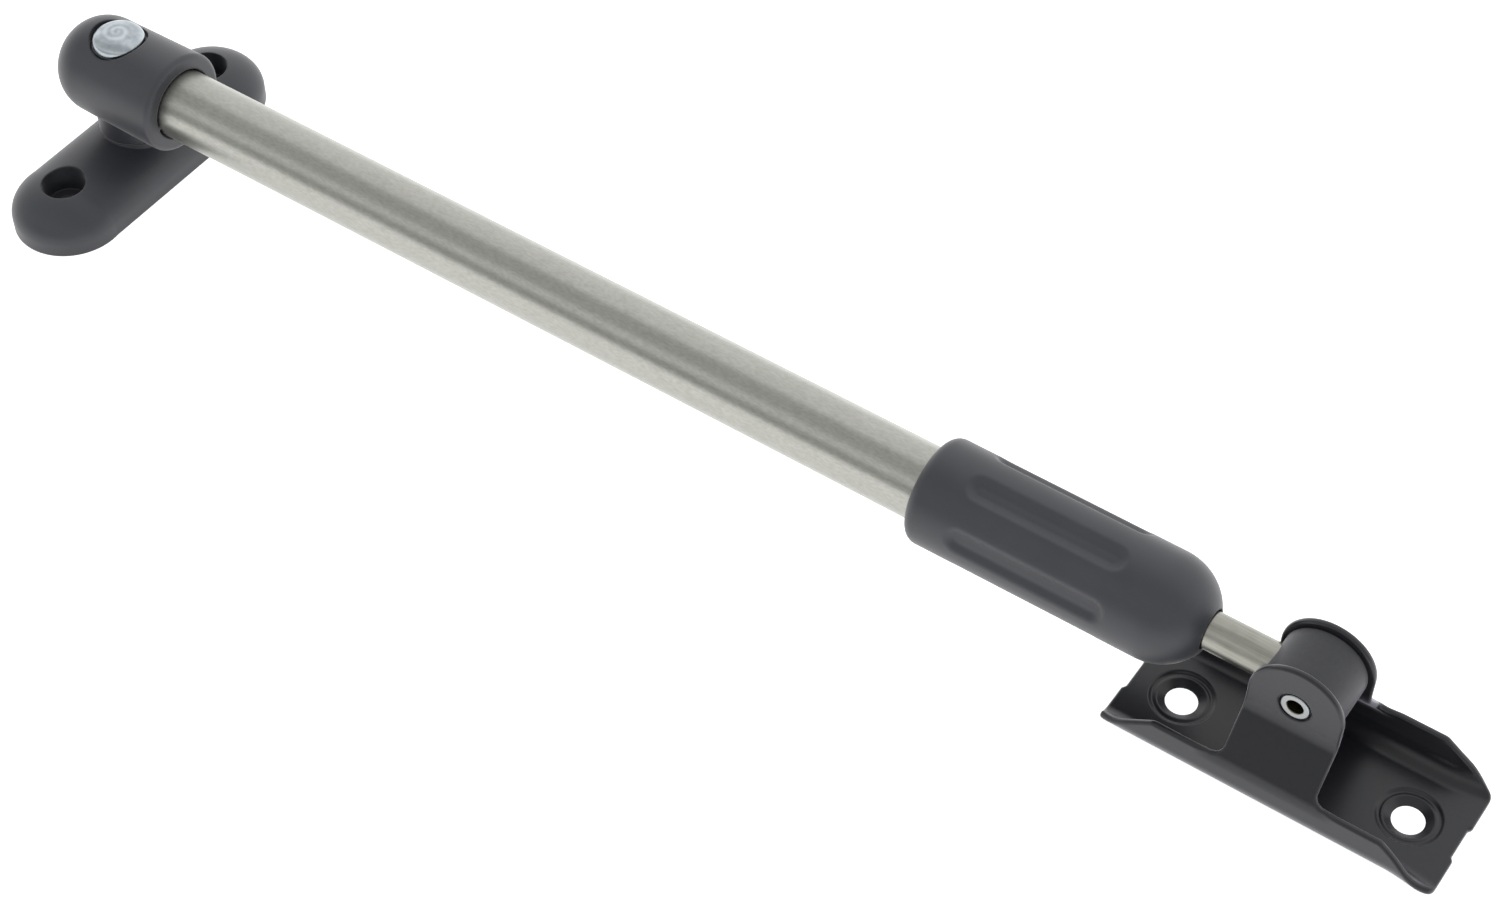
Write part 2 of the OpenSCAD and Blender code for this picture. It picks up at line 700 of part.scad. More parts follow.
module bracket() {
    side = sheet_side();
    mirrored = [for (i = [len(side) - 2:-1:1]) [-side[i][0], side[i][1]]];
    sink_z = sheet_t - dimple_depth;
    color("darkslategray") difference() {
        intersection() {
            translate([pivot_x - bracket_l / 2, 0, 0]) rotate([90, 0, 90])
                linear_extrude(bracket_l) polygon(concat(side, mirrored));
            translate([pivot_x, bracket_w, 0]) rotate([90, 0, 0])
                linear_extrude(2 * bracket_w) bracket_side();
            translate([pivot_x, 0, -1]) linear_extrude(ear_top + 2) bracket_plan();
        }
        for (sx = [0, 1], sy = [0, 1])
            translate([pivot_x, 0, 0]) mirror([sx, 0, 0]) mirror([0, sy, 0]) corner_cut();
        for (s = [-1, 1]) translate([pivot_x + s * bracket_hole_spacing / 2, 0, 0]) {
            translate([0, 0, -1]) cylinder(h = sheet_t + 2, r = bracket_screw_d / 2);
            translate([0, 0, sink_z]) cylinder(h = sheet_t, r = dimple_d / 2);
            translate([0, 0, hole_land])
                cylinder(h = sink_z - hole_land, r1 = bracket_screw_d / 2, r2 = countersink_d / 2);
        }
        cross_bar(-bracket_w, bracket_w, hinge_r);
        cross_bar(-bracket_w, hinge_head_t - head_y, hinge_recess_d / 2);
        cross_bar(head_y - hinge_head_t, bracket_w, hinge_recess_d / 2);
    }
}

mounting_plate();
pivot_rivet();
thrust_washer();
head_washer();
tail_washer();
knuckle();
outer_tube();
end_buffer();
threaded_collar();
collet();
clamp_ring();
grip();
grip_nut();
rod_wiper();
slider();
slider_ring();
slider_washer();
slider_screw();
inner_rod();
barrel();
barrel_bush();
bracket();
hinge_rivet();
barrel_washers();
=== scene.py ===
"""Looks of a telescopic window stay, closed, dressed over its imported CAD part.

Metres, in the CAD part's frame: +X along the tube towards the bracket, +Z away from the
plane that both feet stand on, and the pivot rivet's axis at x = y = 0. Pieces made here are
drawn in millimetres, and finished() scales them to metres.
"""

import math

import bmesh
import bpy
from mathutils import Matrix, Quaternion, Vector


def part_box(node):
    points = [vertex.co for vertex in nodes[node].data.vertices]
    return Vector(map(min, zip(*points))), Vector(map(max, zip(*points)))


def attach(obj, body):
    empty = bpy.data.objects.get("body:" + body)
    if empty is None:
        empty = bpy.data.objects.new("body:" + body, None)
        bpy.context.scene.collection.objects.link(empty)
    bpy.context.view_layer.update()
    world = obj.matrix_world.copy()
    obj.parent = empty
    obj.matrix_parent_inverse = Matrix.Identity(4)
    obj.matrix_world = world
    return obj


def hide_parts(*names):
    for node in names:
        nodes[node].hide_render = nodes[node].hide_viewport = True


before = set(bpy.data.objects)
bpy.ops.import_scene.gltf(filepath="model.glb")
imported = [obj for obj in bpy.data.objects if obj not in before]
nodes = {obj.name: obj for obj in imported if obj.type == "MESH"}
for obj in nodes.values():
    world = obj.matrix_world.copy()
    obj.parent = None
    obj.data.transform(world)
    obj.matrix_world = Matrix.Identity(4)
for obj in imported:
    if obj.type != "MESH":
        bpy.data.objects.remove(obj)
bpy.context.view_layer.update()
MM = 0.001


def centre(node):
    low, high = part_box(node)
    return (low + high) / 2


HINGE_X, _, AXIS_Z = centre("hinge_rivet")


# Camera

CAMERA_AT = Vector((0.39674, -0.33241, 0.46748))
CAMERA_AZIMUTH = math.radians(34.12)
CAMERA_ELEVATION = math.radians(48.92)
CAMERA_ROLL = math.radians(0.47)


def place_camera():
    """The photograph's camera: a 70 mm lens on a 36 mm wide frame."""
    back = Vector((math.sin(CAMERA_AZIMUTH) * math.cos(CAMERA_ELEVATION),
                   -math.cos(CAMERA_AZIMUTH) * math.cos(CAMERA_ELEVATION),
                   math.sin(CAMERA_ELEVATION)))
    data = bpy.data.cameras.new("camera")
    data.sensor_fit = "HORIZONTAL"
    data.sensor_width = 36.0
    data.lens = 70.0
    data.clip_start = 0.01
    data.clip_end = 20.0
    camera = bpy.data.objects.new("camera", data)
    camera.location = CAMERA_AT
    camera.rotation_euler = (back.to_track_quat("Z", "Y")
                             @ Quaternion((0, 0, 1), CAMERA_ROLL)).to_euler()
    bpy.context.scene.collection.objects.link(camera)
    bpy.context.scene.camera = camera


place_camera()
bpy.context.scene.view_settings.view_transform = "Standard"


# Shader helpers

def linear(hexcode):
    """A colour written as an sRGB hex value, as linear RGBA."""
    channels = [int(hexcode[i:i + 2], 16) / 255 for i in (1, 3, 5)]
    return tuple(c / 12.92 if c <= 0.04045 else ((c + 0.055) / 1.055) ** 2.4
                 for c in channels) + (1.0,)


def add(tree, kind, values=None, links=None, **settings):
    """Adds one node: settings are its properties, values and links go to its inputs."""
    node = tree.nodes.new("ShaderNode" + kind)
    for name, value in settings.items():
        setattr(node, name, value)
    for socket, value in (values or {}).items():
        node.inputs[socket].default_value = value
    for socket, output in (links or {}).items():
        tree.links.new(output, node.inputs[socket])
    return node


def ramp(tree, factor, stops):
    """A colour ramp through (position, linear colour) stops."""
    node = add(tree, "ValToRGB", links={"Fac": factor})
    band = node.color_ramp.elements
    band.remove(band[1])
    band[0].position, band[0].color = stops[0]
    for position, colour in stops[1:]:
        band.new(position).color = colour
    return node.outputs["Color"]


def new_material(name):
    """An empty material with its output and a Principled shader, and the shader."""
    material = bpy.data.materials.new(name)
    material.use_nodes = True
    tree = material.node_tree
    tree.nodes.clear()
    shader = add(tree, "BsdfPrincipled")
    add(tree, "OutputMaterial", links={"Surface": shader.outputs["BSDF"]})
    return material, tree, shader


def wear(material, *names):
    """Gives a material to CAD nodes."""
    for name in names:
        data = nodes[name].data
        data.materials.clear()
        data.materials.append(material)


# Materials

def moulded_nylon():
    # Injection-moulded from a spark-eroded tool: matt slate grey, a pale haze where a surface
    # turns away, a grain that only just shows, and corners softened as a tool's corners are.
    material, tree, shader = new_material("glass_filled_nylon_spark_grain")
    place = add(tree, "TexCoord").outputs["Object"]
    cloud = add(tree, "TexNoise", {"Scale": 1 / (9 * MM), "Detail": 3.0}, {"Vector": place})
    grain = add(tree, "TexNoise", {"Scale": 1 / (0.45 * MM), "Detail": 2.0}, {"Vector": place})
    tree.links.new(ramp(tree, cloud.outputs["Fac"],
                        [(0.3, linear("#292b31")), (0.7, linear("#2e3037"))]),
                   shader.inputs["Base Color"])
    soft_edge = add(tree, "Bevel", {"Radius": 0.6 * MM}, samples=6)
    bump = add(tree, "Bump", {"Strength": 0.4, "Distance": 0.03 * MM},
               {"Height": grain.outputs["Fac"], "Normal": soft_edge.outputs["Normal"]})
    tree.links.new(bump.outputs["Normal"], shader.inputs["Normal"])
    shader.inputs["Roughness"].default_value = 0.48
    shader.inputs["IOR"].default_value = 1.53
    shader.inputs["Specular IOR Level"].default_value = 0.62
    shader.inputs["Sheen Weight"].default_value = 0.34
    shader.inputs["Sheen Roughness"].default_value = 0.35
    return material


def powder_coat(name, dark, light, roughness, gloss, haze):
    # Powder coat baked on steel: near black and satin, with a faint orange peel that makes its
    # reflections waver, and a cool haze where it turns away.
    material, tree, shader = new_material(name)
    place = add(tree, "TexCoord").outputs["Object"]
    peel = add(tree, "TexNoise", {"Scale": 1 / (1.2 * MM), "Detail": 2.0}, {"Vector": place})
    tree.links.new(ramp(tree, peel.outputs["Fac"],
                        [(0.3, linear(dark)), (0.7, linear(light))]),
                   shader.inputs["Base Color"])
    bump = add(tree, "Bump", {"Strength": 0.3, "Distance": 0.02 * MM},
               {"Height": peel.outputs["Fac"]})
    tree.links.new(bump.outputs["Normal"], shader.inputs["Normal"])
    shader.inputs["Roughness"].default_value = roughness
    shader.inputs["Specular IOR Level"].default_value = gloss
    shader.inputs["Sheen Weight"].default_value = haze
    shader.inputs["Sheen Roughness"].default_value = 0.35
    shader.inputs["Sheen Tint"].default_value = linear("#f2f3ff")
    return material


def brushed_steel(name, stretch, base, roughness, turn):
    # Stainless steel, ground along its length: warm grey, with soft bands of light along it
    # and short hairlines, drawn coarser than they are so that they show.
    material, tree, shader = new_material(name)
    place = add(tree, "TexCoord").outputs["Object"]
    at = add(tree, "Mapping", {"Location": (0, 0, -AXIS_Z), "Scale": stretch}, {"Vector": place})
    lines = add(tree, "TexNoise", {"Scale": 1 / (0.35 * MM), "Detail": 3.0},
                {"Vector": at.outputs["Vector"]})
    mottle = add(tree, "TexNoise", {"Scale": 1 / (2.5 * MM), "Detail": 2.0}, {"Vector": place})
    both = add(tree, "Math", {1: 0.3}, {0: mottle.outputs["Fac"], 2: lines.outputs["Fac"]},
               operation="MULTIPLY_ADD")
    tree.links.new(ramp(tree, both.outputs[0],
                        [(0.45, linear(base[0])), (0.85, linear(base[1]))]),
                   shader.inputs["Base Color"])
    shader.inputs["Metallic"].default_value = 1.0
    shader.inputs["Roughness"].default_value = roughness
    shader.inputs["Anisotropic"].default_value = 0.6
    shader.inputs["Anisotropic Rotation"].default_value = turn
    tangent = add(tree, "Tangent", direction_type="RADIAL", axis="X")
    tree.links.new(tangent.outputs["Tangent"], shader.inputs["Tangent"])
    return material


def distance_from(tree, place, middle, keep):
    """How far a point lies from a line through middle: keep has 0 along the line."""
    flat = add(tree, "Mapping", {"Location": [-m * k for m, k in zip(middle, keep)],
                                 "Scale": keep}, {"Vector": place})
    return add(tree, "VectorMath", links={0: flat.outputs["Vector"]},
               operation="LENGTH").outputs["Value"]


def spun_zinc():
    # Zinc plate over a spun rivet head: pale blue-grey and a little cloudy, with the swirl that
    # the spinning tool left in its middle, fading out towards the edge. The swirl is a bump, and
    # its rings are also painted into the colour, lighter and darker, as painted highlight and shade.
    material, tree, shader = new_material("zinc_plate_on_spun_steel")
    place = add(tree, "TexCoord").outputs["Object"]
    cloud = add(tree, "TexNoise", {"Scale": 1 / (2.2 * MM), "Detail": 4.0}, {"Vector": place})
    reach = distance_from(tree, place, (0, 0, 0), (1, 1, 0))
    parts = add(tree, "SeparateXYZ", links={"Vector": place})
    turn = add(tree, "Math", links={0: parts.outputs["Y"], 1: parts.outputs["X"]},
               operation="ARCTAN2")
    rings = add(tree, "Math", {1: 2 * math.pi / (1.7 * MM)}, {0: reach}, operation="MULTIPLY")
    spiral = add(tree, "Math", links={0: rings.outputs[0], 1: turn.outputs[0]}, operation="ADD")
    wave = add(tree, "Math", links={0: spiral.outputs[0]}, operation="SINE")
    fade = add(tree, "MapRange", {"From Min": 1.5 * MM, "From Max": 4.5 * MM,
                                  "To Min": 1.0, "To Max": 0.1}, {"Value": reach})
    height = add(tree, "Math", links={0: wave.outputs[0], 1: fade.outputs[0]},
                 operation="MULTIPLY")
    # Painted highlight and shade: the swirl's rings make the colour lighter and darker.
    swirl_shade_and_cloud = add(tree, "Math", {1: 0.16}, {0: height.outputs[0], 2: cloud.outputs["Fac"]},
               operation="MULTIPLY_ADD")
    tree.links.new(ramp(tree, swirl_shade_and_cloud.outputs[0],
                        [(0.25, linear("#969da3")), (0.75, linear("#bec6ca"))]),
                   shader.inputs["Base Color"])
    bump = add(tree, "Bump", {"Strength": 0.6, "Distance": 0.05 * MM},
               {"Height": height.outputs[0]})
    tree.links.new(bump.outputs["Normal"], shader.inputs["Normal"])
    shader.inputs["Metallic"].default_value = 1.0
    shader.inputs["Roughness"].default_value = 0.3
    return material


RIVET_REACH = 10                  # distance from the hinge's axis that its colours are laid over
HOLE_SHADE_RADII = (1.65, 1.95)       # the olive reaches to the first, and the silver starts at the second


def rolled_zinc():
    # A hollow rivet rolled over at both ends: a dull silver ring, and a dark olive inside its
    # hole: the passivated plate's tint, painted darker as shade for the hole's depth.
    material, tree, shader = new_material("zinc_plate_on_rolled_tube")
    place = add(tree, "TexCoord").outputs["Object"]
    reach = distance_from(tree, place, (HINGE_X, 0, AXIS_Z), (1, 0, 1))
    share = add(tree, "Math", {1: RIVET_REACH * MM}, {0: reach}, operation="DIVIDE")
    inside, ring = (r / RIVET_REACH for r in HOLE_SHADE_RADII)
    # Painted shade: the hole's inside is coloured a dark olive, and the ring a lighter silver.
    tree.links.new(ramp(tree, share.outputs[0],
                        [(inside, linear("#6b6848")), (ring, linear("#a2a5a6"))]),
                   shader.inputs["Base Color"])
    shader.inputs["Metallic"].default_value = 1.0
    shader.inputs["Roughness"].default_value = 0.34
    return material


def plain(name, colour, roughness, metallic=0.0):
    """An even material with a slight cloudiness, for the pieces inside."""
    material, tree, shader = new_material(name)
    place = add(tree, "TexCoord").outputs["Object"]
    cloud = add(tree, "TexNoise", {"Scale": 1 / (3 * MM), "Detail": 3.0}, {"Vector": place})
    tree.links.new(ramp(tree, cloud.outputs["Fac"],
                        [(0.2, linear(colour[0])), (0.8, linear(colour[1]))]),
                   shader.inputs["Base Color"])
    shader.inputs["Roughness"].default_value = roughness
    shader.inputs["Metallic"].default_value = metallic
    return material


nylon_slate = moulded_nylon()
sheet_coat = powder_coat("powder_coated_sheet_satin", "#131419", "#17181d", 0.3, 0.5, 0.8)
barrel_coat = powder_coat("powder_coated_barrel_matt", "#26272c", "#2b2c31", 0.5, 0.55, 0.3)
tube_steel = brushed_steel("stainless_tube_ground", (0.3, 1, 1), ("#9d9d97", "#acaca6"), 0.34, 0.25)
rod_steel = brushed_steel("stainless_rod_drawn", (0.04, 1, 1), ("#8f8f87", "#a1a199"), 0.3, 0.0)
head_zinc = spun_zinc()
hinge_zinc = rolled_zinc()
wear(nylon_slate, "mounting_plate", "knuckle", "grip")
wear(sheet_coat, "bracket")
wear(barrel_coat, "barrel")
wear(tube_steel, "outer_tube")
wear(rod_steel, "inner_rod")
wear(head_zinc, "pivot_rivet")
wear(hinge_zinc, "hinge_rivet")
# Bright zinc plate: a cool silver, a little uneven.
wear(plain("zinc_plated_washer_steel", ("#9b9fa5", "#a8acb2"), 0.28, 1.0),
     "head_washer", "tail_washer", "slider_washer", "slider_screw")
# Turned brass, unlacquered: warm yellow with a soft shine.
wear(plain("brass_machined", ("#a98a4c", "#b99a5a"), 0.3, 1.0),
     "threaded_collar", "collet", "clamp_ring", "grip_nut")
# Natural nylon: milky white and slightly waxy.
nylon_white = plain("nylon_natural", ("#d0cdc2", "#dad7cc"), 0.5)
wear(nylon_white, "thrust_washer", "slider", "slider_ring", "barrel_bush", "barrel_washers")
# Moulded rubber: black and dull.
wear(plain("rubber_black", ("#19191a", "#202021"), 0.7), "end_buffer", "rod_wiper")


# Mesh helpers

def arc(middle, radii, start, end, steps):
    """Points along an ellipse, from one angle in degrees to another."""
    turns = [math.radians(start + (end - start) * i / steps) for i in range(steps + 1)]
    return [Vector((middle[0] + radii[0] * math.cos(a), middle[1] + radii[1] * math.sin(a)))
            for a in turns]


def rounded(corners, steps=6):
    """An open line through (x, y, radius) corners, each rounded by its own radius."""
    line = []
    for i, (x, y, radius) in enumerate(corners):
        corner = Vector((x, y))
        if radius == 0:
            line.append(corner)
            continue
        back = (Vector(corners[i - 1][:2]) - corner).normalized()
        ahead = (Vector(corners[i + 1][:2]) - corner).normalized()
        half = back.angle(ahead) / 2
        middle = corner + (back + ahead).normalized() * radius / math.sin(half)
        first = (corner + back * radius / math.tan(half) - middle).normalized()
        last = (corner + ahead * radius / math.tan(half) - middle).normalized()
        line += [middle + radius * first.slerp(last, k / steps) for k in range(steps + 1)]
    return line


WELD = 0.001                      # points this close, in millimetres, become one
NEAR = 0.01                       # and this close count as lying in one place or plane


def turned(bm, points, middle, axis, angle, steps):
    """Spins a line of points about an axis, a whole turn welded to itself."""
    line = [bm.verts.new(p) for p in points]
    edges = [bm.edges.new(pair) for pair in zip(line, line[1:])]
    bmesh.ops.spin(bm, geom=line + edges, cent=middle, axis=axis, angle=angle, steps=steps,
                   use_merge=abs(angle) > 2 * math.pi - 0.001)


def welded(bm, near=WELD):
    """Welds points that lie together and turns every face outwards.

    The points are taken in order of place, so that every run keeps the same one of two.
    """
    bmesh.ops.remove_doubles(bm, verts=sorted(bm.verts, key=lambda v: v.co[:]), dist=near)
    bmesh.ops.recalc_face_normals(bm, faces=bm.faces)


def finished(bm, name, body, material):
    """Turns a mesh in millimetres into a piece in metres that stands for its CAD node."""
    bmesh.ops.scale(bm, vec=(MM, MM, MM), verts=bm.verts)
    for face in bm.faces:
        face.smooth = True
    mesh = bpy.data.meshes.new(name + "_shape")
    bm.to_mesh(mesh)
    bm.free()
    piece = bpy.data.objects.new(name + "_finished", mesh)
    bpy.context.scene.collection.objects.link(piece)
    mesh.materials.append(material)
    smooth = piece.modifiers.new("flat_faces_stay_flat", "WEIGHTED_NORMAL")
    smooth.keep_sharp = True
    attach(piece, body)
    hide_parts(name)
    return piece


# Bracket: a flat blank with pressed holes, bent to shape

SHEET = 1.5                       # thickness of the sheet
FLAT_TO = 9.65                    # where the lower bend starts, from the middle
BEND_MID = 4.75                   # radius of the lower bend at the middle of the sheet
UPRIGHT = 2.3                     # height of the upright strip above the lower bend
LEAN = math.radians(37)           # how far the walls below the ears lean in
LEAN_MID = 4.4                    # radius of the bend where a wall starts to lean
LEAN_TO = (11, 15)                # distance from the hinge over which the lean fades out
EAR_BEND_MID = 6.0                # radius of the bend below an ear
EAR_MID = 6.65                    # middle of an ear's sheet, from the middle of the bracket
EAR_R = 9.9                       # radius of an ear's arch
EAR_FILLET = 2.2                  # rounding of the notch between an ear and a flap
FLAP_TO = 21.7                    # upper edge of the flaps beside the ears, on the blank
FLAP_L = 24.3                     # where that edge starts to slope down to the tips
FLAP_ROUND = 2.0                  # rounding of the corner there
END_X = 36                        # the bracket's end, from the hinge
NOTCH_X = 35.4                    # floor of the shallow notch in the end
NOTCH_Y = (3.6, 4.5)              # where the notch's side starts and ends, from the middle
NOTCH_ROUND = 1.0
HOLE_X = 24.75                    # screw hole, from the hinge
HOLE_PATCH = 7.0                  # radius of the patch that the pressed screw hole fills
HINGE_PATCH = 4.1                 # radius of the patch that the hinge's hole fills
ON_PATCH = 0.05                   # an edge this close to a patch's circle lies on it
ON_CUT = 0.0001                   # a point this close to a cut's plane lies on it
ROUND_STEPS = 36                  # steps in half a turn about a hole
RIM = 0.6                         # rounding of the sheet's cut edges
SPREAD_OVER = (26, 38)            # distance from the hinge over which the far end spreads
# The corners at the rod's end and at the far end: place on the blank, rounding, and how far the
# lower bend would have spread at the end of SPREAD_OVER
TIPS = {-1: (13.5, 1.0, 0.0), 1: (13.3, 2.4, 1.3)}
# Stations across the blank, from its middle, and where the folded sheet's middle lies there
BEND_END = FLAT_TO + BEND_MID * math.pi / 2
LEAN_START = BEND_END + UPRIGHT
WALL_START = LEAN_START + LEAN_MID * LEAN
SIDE_Y = FLAT_TO + BEND_MID
LEAN_Z = SHEET / 2 + BEND_MID + UPRIGHT
WALL_FOOT = Vector((SIDE_Y - LEAN_MID * (1 - math.cos(LEAN)), LEAN_Z + LEAN_MID * math.sin(LEAN)))
WALL_L = (WALL_FOOT.x - EAR_MID - EAR_BEND_MID * (1 - math.cos(LEAN))) / math.sin(LEAN)
WALL_END = WALL_START + WALL_L
EAR_FOOT = WALL_END + EAR_BEND_MID * LEAN
EAR_BEND_Z = WALL_FOOT.y + WALL_L * math.cos(LEAN) + EAR_BEND_MID * math.sin(LEAN)
HINGE_S = EAR_FOOT + AXIS_Z / MM - EAR_BEND_Z


def blank_outline(tip_s, tip_r):
    """A quarter of the flat blank: x along the bracket, y across it, both from the middle."""
    end = rounded([(NOTCH_X, 0, 0), (NOTCH_X, NOTCH_Y[0], NOTCH_ROUND),
                   (END_X, NOTCH_Y[1], NOTCH_ROUND), (END_X, tip_s, tip_r),
                   (FLAP_L, FLAP_TO, FLAP_ROUND), (EAR_R, FLAP_TO, EAR_FILLET),
                   (EAR_R, HINGE_S, 0)], 8)
    arch = arc((0, HINGE_S), (EAR_R, EAR_R), 0, 90, 20)
    hinge = arc((0, HINGE_S), (HINGE_PATCH, HINGE_PATCH), 90, -90, ROUND_STEPS)
    hole = arc((HOLE_X, 0), (HOLE_PATCH, HOLE_PATCH), 180, 0, ROUND_STEPS)
    return end + arch[1:] + hinge + [Vector((0, 0))] + hole


def pressed_hole():
    """The screw hole's section, from its patch's edge inwards: distance from its middle, height."""
    return [(HOLE_PATCH, SHEET), (6.85, 1.48), (6.65, 1.4), (6.45, 1.24), (6.25, 1.07), (6.05, 0.97),
            (5.85, 0.95), (5.65, 1.0), (5.45, 1.08), (5.25, 1.13), (5.05, 1.12), (4.85, 1.02),
            (3.55, 0.3), (3.38, 0.2), (3.3, 0.12), (3.32, 0.05), (3.4, 0), (HOLE_PATCH, 0)]


def hinge_hole():
    """The hinge hole's section with the recess of the rolled rivet on the ear's outer side."""
    return [(HINGE_PATCH, 0), (3.9, 0), (3.7, 0.04), (3.56, 0.13), (3.48, 0.28), (3.45, 0.45),
            (3.45, 0.7), (2.5, 0.7), (2.5, SHEET), (HINGE_PATCH, SHEET)]


def eased(value, first, last):
    """A smooth rise from 0 at first to 1 at last."""
    share = min(max((value - first) / (last - first), 0), 1)
    return share * share * (3 - 2 * share)


def bent(x, s, t, end_spread):
    """Where a point of the blank comes to: s across the sheet, t up from its lower face."""
    up = t - SHEET / 2
    spread = end_spread * eased(x, *SPREAD_OVER)
    if s <= FLAT_TO + spread:
        return Vector((x, s, t))
    s -= spread
    if s <= BEND_END:
        a = (s - FLAT_TO) / BEND_MID
        reach = BEND_MID - up
        return Vector((x, FLAT_TO + spread + reach * math.sin(a),
                       SHEET / 2 + BEND_MID - reach * math.cos(a)))
    upright = Vector((x, SIDE_Y + spread - up, SHEET / 2 + BEND_MID + s - BEND_END))
    if s <= LEAN_START:
        return upright
    return upright.lerp(leaning(x, s, up), 1 - eased(x, *LEAN_TO))


def leaning(x, s, up):
    """The same for the wall below an ear and the ear, up from the middle of the sheet."""
    if s <= WALL_START:
        a = (s - LEAN_START) / LEAN_MID
        reach = LEAN_MID - up
        return Vector((x, SIDE_Y - LEAN_MID + reach * math.cos(a), LEAN_Z + reach * math.sin(a)))
    if s <= WALL_END:
        along = s - WALL_START
        return Vector((x, WALL_FOOT.x - along * math.sin(LEAN) - up * math.cos(LEAN),
                       WALL_FOOT.y + along * math.cos(LEAN) - up * math.sin(LEAN)))
    if s <= EAR_FOOT:
        a = math.pi + LEAN - (s - WALL_END) / EAR_BEND_MID
        reach = EAR_BEND_MID + up
        return Vector((x, EAR_MID + EAR_BEND_MID + reach * math.cos(a),
                       EAR_BEND_Z + reach * math.sin(a)))
    return Vector((x, EAR_MID - up, EAR_BEND_Z + s - EAR_FOOT))


def on_seam(element):
    """Whether it lies on a mirror plane or on the edge of a hole's patch."""
    places = [v.co for v in element.verts]
    return (all(abs(p.x) < NEAR for p in places) or all(abs(p.y) < NEAR for p in places)
            or all(abs(math.hypot(p.x - HOLE_X, p.y) - HOLE_PATCH) < ON_PATCH for p in places)
            or all(abs(math.hypot(p.x, p.y - HINGE_S) - HINGE_PATCH) < ON_PATCH for p in places))


def cut_across(bm, faces, at, along):
    """Cuts faces by the plane through a point, so that they can bend there."""
    around = {part for face in faces for part in (*face.verts, *face.edges)}
    bmesh.ops.bisect_plane(bm, geom=[part for part in bm.verts[:] + bm.edges[:]
                                     if part in around] + faces,
                           plane_co=at, plane_no=along, dist=ON_CUT)


def quarter_bracket(tip_s, tip_r, end_spread):
    """The bracket's quarter on its hinge's +X and +Y side, cut, pressed and bent."""
    bm = bmesh.new()
    face = bm.faces.new([bm.verts.new((p.x, p.y, 0)) for p in blank_outline(tip_s, tip_r)])
    raised = bmesh.ops.extrude_face_region(bm, geom=[face], use_keep_orig=True)["geom"]
    bmesh.ops.translate(bm, vec=(0, 0, SHEET),
                        verts=[v for v in raised if isinstance(v, bmesh.types.BMVert)])
    rims = [e for e in bm.edges
            if abs(e.verts[0].co.z - e.verts[1].co.z) < NEAR and not on_seam(e)]
    bmesh.ops.bevel(bm, geom=rims, offset=RIM, offset_type="OFFSET", segments=4, profile=0.5,
                    affect="EDGES", material=-1, clamp_overlap=False)
    bmesh.ops.delete(bm, geom=[f for f in bm.faces if on_seam(f)], context="FACES")
    for s in [first + (last - first) * i / steps
              for first, last, steps in ((FLAT_TO, BEND_END, 14), (LEAN_START, WALL_START, 6),
                                         (WALL_END, EAR_FOOT, 6))
              for i in range(steps + 1)]:
        cut_across(bm, bm.faces[:], (0, s, 0), (0, 1, 0))
    for x in [*range(LEAN_TO[0], LEAN_TO[1] + 1), *range(SPREAD_OVER[0], END_X)]:
        faces = [f for f in bm.faces if f.calc_center_median().y > FLAT_TO]
        cut_across(bm, faces, (x, 0, 0), (1, 0, 0))
    turned(bm, [(HOLE_X + r, 0, z) for r, z in pressed_hole()], (HOLE_X, 0, 0), (0, 0, 1),
           math.pi, ROUND_STEPS)
    turned(bm, [(0, HINGE_S - r, z) for r, z in hinge_hole()], (0, HINGE_S, 0), (0, 0, 1),
           math.pi, ROUND_STEPS)
    for v in bm.verts:
        v.co = bent(*v.co, end_spread)
    return bm


def bent_bracket():
    bm = bmesh.new()
    for side, tip in TIPS.items():
        quarter = quarter_bracket(*tip)
        bmesh.ops.scale(quarter, vec=(side, 1, 1), verts=quarter.verts)
        mesh = bpy.data.meshes.new("quarter")
        quarter.to_mesh(mesh)
        quarter.free()
        bm.from_mesh(mesh)
        bpy.data.meshes.remove(mesh)
    bmesh.ops.mirror(bm, geom=bm.verts[:] + bm.edges[:] + bm.faces[:],
                     matrix=Matrix.Identity(4), merge_dist=NEAR, axis="Y")
    welded(bm, NEAR)
    bmesh.ops.translate(bm, vec=(HINGE_X / MM, 0, 0), verts=bm.verts)
    finished(bm, "bracket", "bracket", sheet_coat)


# Barrel and its washers: the CAD part's own, moved out to reach the thinner ears

EAR_INSIDE = EAR_MID - SHEET / 2
WASHER_T = 0.4                    # thickness of a washer
FACE_GAP = 0.05                   # between the barrel, a washer and an ear
SHARP = math.radians(30)          # a copied edge that turns by more than this stays sharp


def copied(name):
    """A CAD node's mesh in millimetres, with its edges kept sharp."""
    bm = bmesh.new()
    bm.from_mesh(nodes[name].data)
    bmesh.ops.scale(bm, vec=(1 / MM, 1 / MM, 1 / MM), verts=bm.verts)
    bmesh.ops.remove_doubles(bm, verts=bm.verts, dist=WELD)
    for edge in bm.edges:
        edge.smooth = edge.calc_face_angle(0) < SHARP
    return bm


def long_barrel():
    bm = copied("barrel")
    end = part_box("barrel")[1].y / MM
    for v in bm.verts:
        if abs(v.co.y) > end - NEAR:
            v.co.y = math.copysign(EAR_INSIDE - WASHER_T - 2 * FACE_GAP, v.co.y)
    finished(bm, "barrel", "rod", barrel_coat)


def outer_washers():
    bm = copied("barrel_washers")
    outwards = EAR_INSIDE - FACE_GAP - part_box("barrel_washers")[1].y / MM
    for v in bm.verts:
        v.co.y += math.copysign(outwards, v.co.y)
    finished(bm, "barrel_washers", "bracket", nylon_white)


# Grip: a turned handle with soft-edged finger flutes

